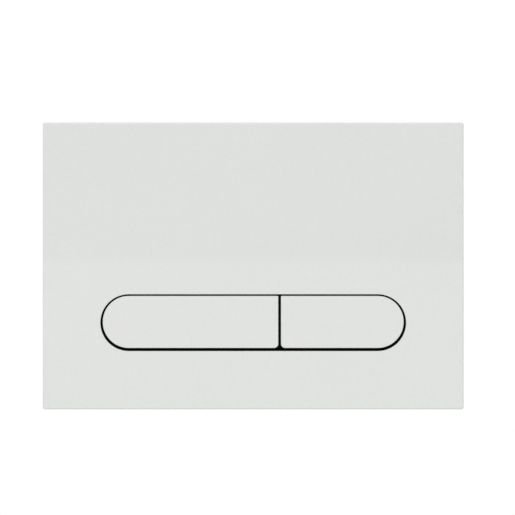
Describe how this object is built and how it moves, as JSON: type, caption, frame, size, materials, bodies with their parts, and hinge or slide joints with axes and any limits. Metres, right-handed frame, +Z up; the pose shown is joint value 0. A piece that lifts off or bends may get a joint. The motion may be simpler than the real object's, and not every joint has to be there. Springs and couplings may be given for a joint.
{
  "type": "flush button plate",
  "caption": "Rectangular wall plate with a round-ended pair of hinged flush buttons, a mounting frame behind, fixing studs and push rods for a concealed cistern.",
  "frame": {"origin": "middle of the cover plate's outline on the wall surface, inside the frame's seat", "axes": "+X to the right seen from the front, +Y into the wall, +Z up"},
  "size_m": [0.22, 0.0727, 0.15],
  "materials": {
    "white_abs": "polished moulded ABS",
    "button_abs": "polished moulded ABS",
    "black_polypropylene": "matt moulded polypropylene",
    "acetal": "natural acetal",
    "zinc_steel": "zinc plated",
    "stainless_steel": "rolled stainless steel",
    "black_rubber": "matt rubber"
  },
  "bodies": {
    "plate": {"cover_plate": "white_abs", "mounting_frame": "black_polypropylene", "fixing_studs": "zinc_steel", "fixing_washers": "zinc_steel", "fixing_nuts": "acetal", "full_flush_hinge_pin": "stainless_steel", "full_flush_pin_clip": "stainless_steel", "full_flush_return_spring": "stainless_steel", "full_flush_spring_screw": "zinc_steel", "half_flush_hinge_pin": "stainless_steel", "half_flush_pin_clip": "stainless_steel", "half_flush_return_spring": "stainless_steel", "half_flush_spring_screw": "zinc_steel"},
    "full_flush_button": {"full_flush_button": "button_abs", "full_flush_carrier": "black_polypropylene", "full_flush_bumpers": "black_rubber"},
    "full_flush_rod": {"full_flush_push_rod": "acetal", "full_flush_rod_head": "acetal", "full_flush_rod_locknut": "acetal"},
    "half_flush_button": {"half_flush_button": "button_abs", "half_flush_carrier": "black_polypropylene", "half_flush_bumpers": "black_rubber"},
    "half_flush_rod": {"half_flush_push_rod": "acetal", "half_flush_rod_head": "acetal", "half_flush_rod_locknut": "acetal"}
  },
  "joints": [
    {"name": "full_flush_press", "type": "hinge", "parent": "plate", "child": "full_flush_button", "pos_m": [0, -0.0055, -0.0157], "axis": [1, 0, 0], "range_deg": [0, 10], "stiffness_Nm_per_rad": 0.6, "springref_deg": -11.46, "deforming": ["full_flush_return_spring"]},
    {"name": "full_flush_rod_slide", "type": "slide", "parent": "plate", "child": "full_flush_rod", "axis": [0, 1, 0], "range_m": [0, 0.0042]},
    {"name": "half_flush_press", "type": "hinge", "parent": "plate", "child": "half_flush_button", "pos_m": [0, -0.0055, -0.0157], "axis": [1, 0, 0], "range_deg": [0, 10], "stiffness_Nm_per_rad": 0.6, "springref_deg": -11.46, "deforming": ["half_flush_return_spring"]},
    {"name": "half_flush_rod_slide", "type": "slide", "parent": "plate", "child": "half_flush_rod", "axis": [0, 1, 0], "range_m": [0, 0.0042]}
  ],
  "couplings": [
    {"joint": "full_flush_rod_slide", "follows": "full_flush_press", "m_per_rad": 0.024},
    {"joint": "half_flush_rod_slide", "follows": "half_flush_press", "m_per_rad": 0.024}
  ]
}
